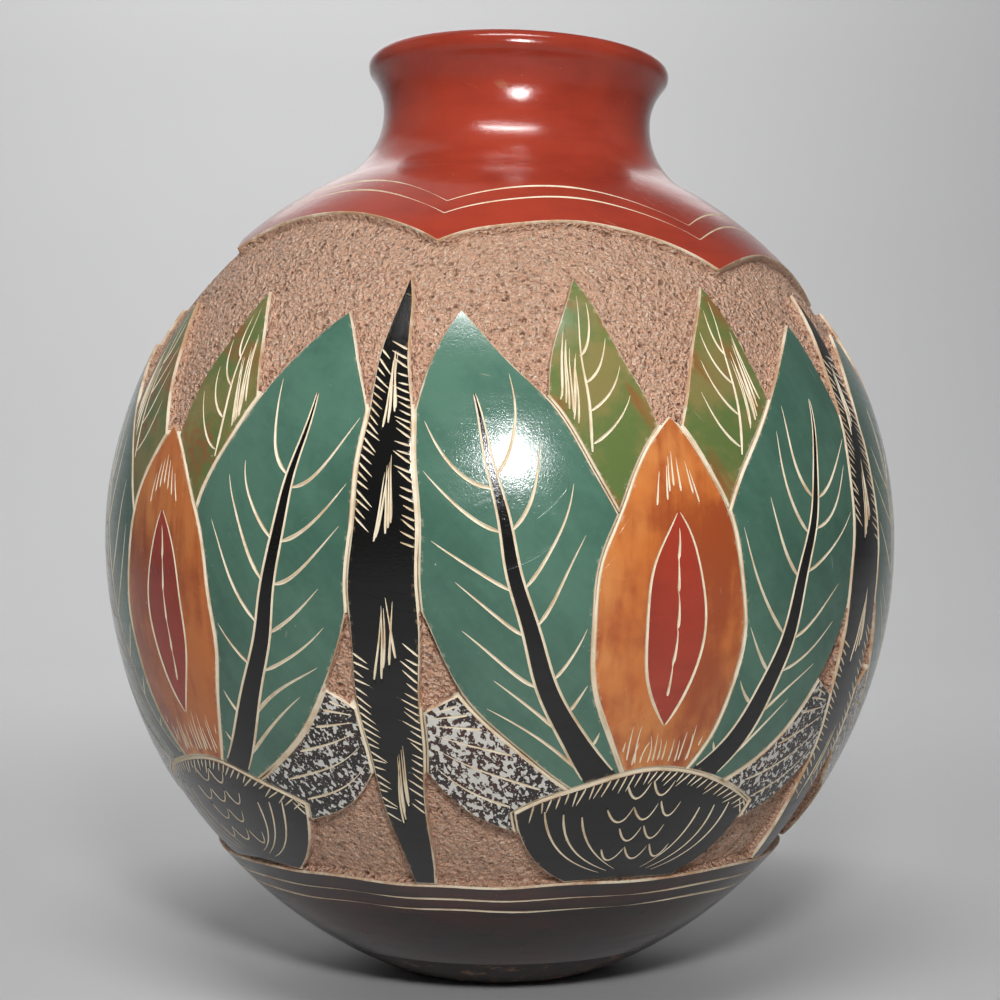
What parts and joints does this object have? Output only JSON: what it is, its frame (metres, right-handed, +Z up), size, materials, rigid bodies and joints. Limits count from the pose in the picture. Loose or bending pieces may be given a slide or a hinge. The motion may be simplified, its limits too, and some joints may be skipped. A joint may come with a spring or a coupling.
{
  "type": "pottery vase",
  "caption": "Round burnished earthenware vase with a short flared neck, a scalloped red shoulder and a carved, slip-painted frieze of palmettes over a stippled ground",
  "frame": {"origin": "middle of the flat foot, on the surface that the vase stands on", "axes": "+Z up along the body's axis, the pictured front faces -Y, +X to the right in the picture"},
  "size_m": [0.178, 0.178, 0.2073],
  "materials": {
    "clay": "unglazed, carved and stippled",
    "red_slip": "burnished, glossy",
    "dark_slip": "burnished, glossy",
    "black_slip": "burnished, glossy",
    "orange_slip": "burnished, mottled",
    "green_slip": "burnished, mottled",
    "olive_slip": "burnished, mottled with rust strokes",
    "speckled_slip": "burnished, speckled white on black"
  },
  "bodies": {
    "root": {"foot": "clay", "lower_wall": "clay", "upper_wall": "clay", "neck": "red_slip", "shoulder": "red_slip", "band": "dark_slip", "calyx_1": "black_slip", "calyx_2": "black_slip", "calyx_3": "black_slip", "calyx_4": "black_slip", "calyx_5": "black_slip", "heart_1": "orange_slip", "heart_2": "orange_slip", "heart_3": "orange_slip", "heart_4": "orange_slip", "heart_5": "orange_slip", "petal_left_1": "green_slip", "petal_left_2": "green_slip", "petal_left_3": "green_slip", "petal_left_4": "green_slip", "petal_left_5": "green_slip", "petal_right_1": "green_slip", "petal_right_2": "green_slip", "petal_right_3": "green_slip", "petal_right_4": "green_slip", "petal_right_5": "green_slip", "sepal_left_1": "olive_slip", "sepal_left_2": "olive_slip", "sepal_left_3": "olive_slip", "sepal_left_4": "olive_slip", "sepal_left_5": "olive_slip", "sepal_right_1": "olive_slip", "sepal_right_2": "olive_slip", "sepal_right_3": "olive_slip", "sepal_right_4": "olive_slip", "sepal_right_5": "olive_slip", "bract_left_1": "speckled_slip", "bract_left_2": "speckled_slip", "bract_left_3": "speckled_slip", "bract_left_4": "speckled_slip", "bract_left_5": "speckled_slip", "bract_right_1": "speckled_slip", "bract_right_2": "speckled_slip", "bract_right_3": "speckled_slip", "bract_right_4": "speckled_slip", "bract_right_5": "speckled_slip", "stem_1": "black_slip", "stem_2": "black_slip", "stem_3": "black_slip", "stem_4": "black_slip", "stem_5": "black_slip"}
  },
  "joints": []
}
